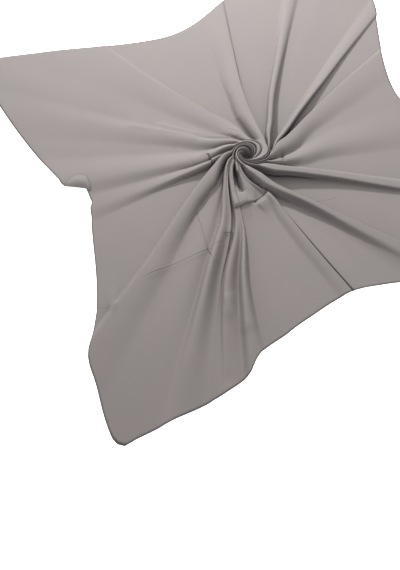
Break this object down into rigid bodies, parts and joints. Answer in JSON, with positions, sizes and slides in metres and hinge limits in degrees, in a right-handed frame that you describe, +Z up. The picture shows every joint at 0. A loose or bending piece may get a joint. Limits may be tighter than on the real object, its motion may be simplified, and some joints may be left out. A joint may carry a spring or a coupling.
{
  "type": "hijab headscarf",
  "caption": "Square crepe headscarf laid flat, its middle twisted by hand into a small wound rosette with folds running out to a rolled hem.",
  "frame": {"origin": "middle of the underside of the scarf's box, on the surface that the scarf lies on", "axes": "+Z up from the surface, -Y towards the camera of the picture, +X to the picture's right"},
  "size_m": [1.3514, 1.3526, 0.0298],
  "materials": {
    "crepe": "matte warm taupe crepe with a fine pebbled weave",
    "hem": "the same crepe rolled tight and overlocked in a darker thread"
  },
  "bodies": {
    "root": {"laid_cloth": "crepe", "rosette": "crepe", "hem_front": "hem", "hem_right": "hem", "hem_back": "hem", "hem_left": "hem"}
  },
  "joints": []
}
